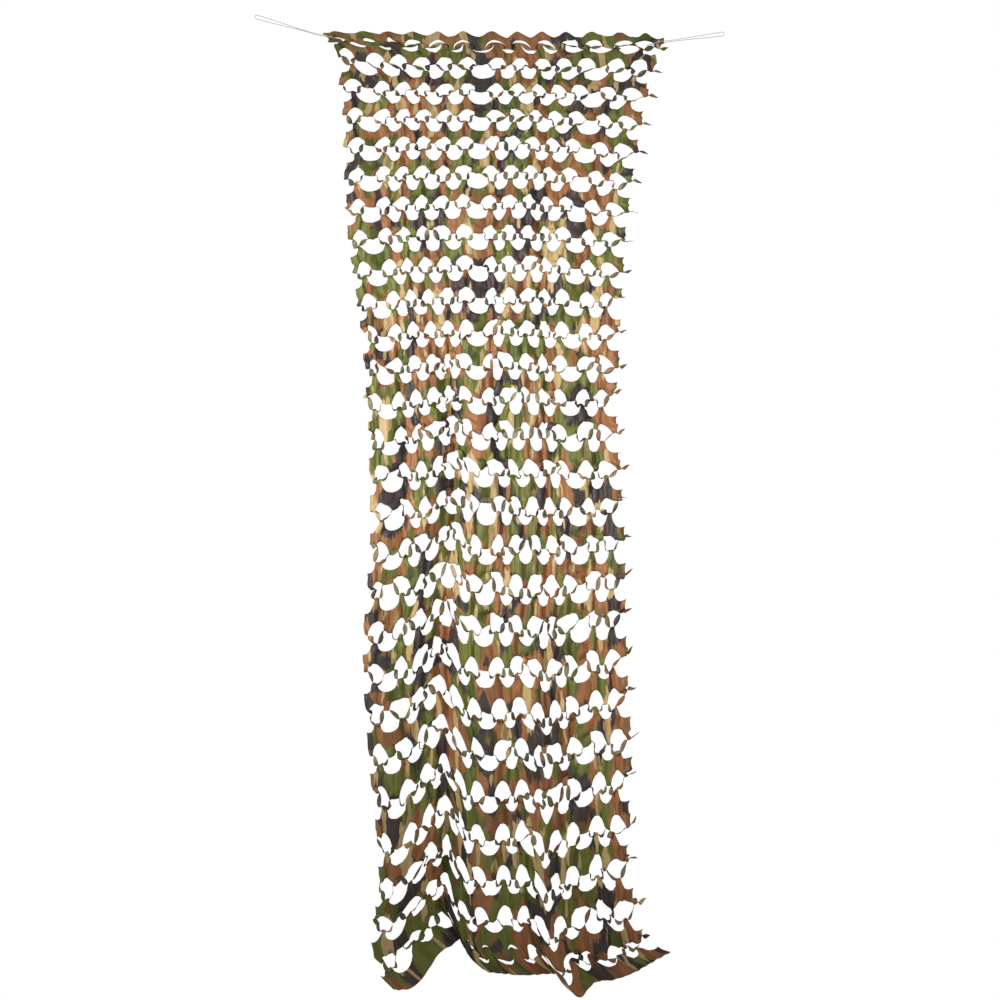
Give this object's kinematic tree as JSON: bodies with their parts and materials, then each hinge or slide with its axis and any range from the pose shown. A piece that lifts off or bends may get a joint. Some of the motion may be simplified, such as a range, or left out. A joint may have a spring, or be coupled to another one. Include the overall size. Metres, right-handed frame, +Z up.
{
  "type": "camouflage net",
  "caption": "Hung camouflage net of die-cut cloth, pulled open in rows of arched gaps, with a string tie at each top corner.",
  "frame": {"origin": "middle of the net's straight top edge, where it is held up", "axes": "+X to the right along the top edge, +Z up, the printed face towards -Y"},
  "size_m": [1.4697, 0.1655, 3.0638],
  "materials": {
    "net_cloth": "thin satin-like coated cloth with a woodland camouflage print in green, rust, tan and dark brown, paler on the back",
    "tie_string": "soft pale twisted string"
  },
  "bodies": {
    "root": {"net": "net_cloth", "tie_left": "tie_string", "tie_left_knot": "tie_string", "tie_right": "tie_string", "tie_right_knot": "tie_string"}
  },
  "joints": []
}
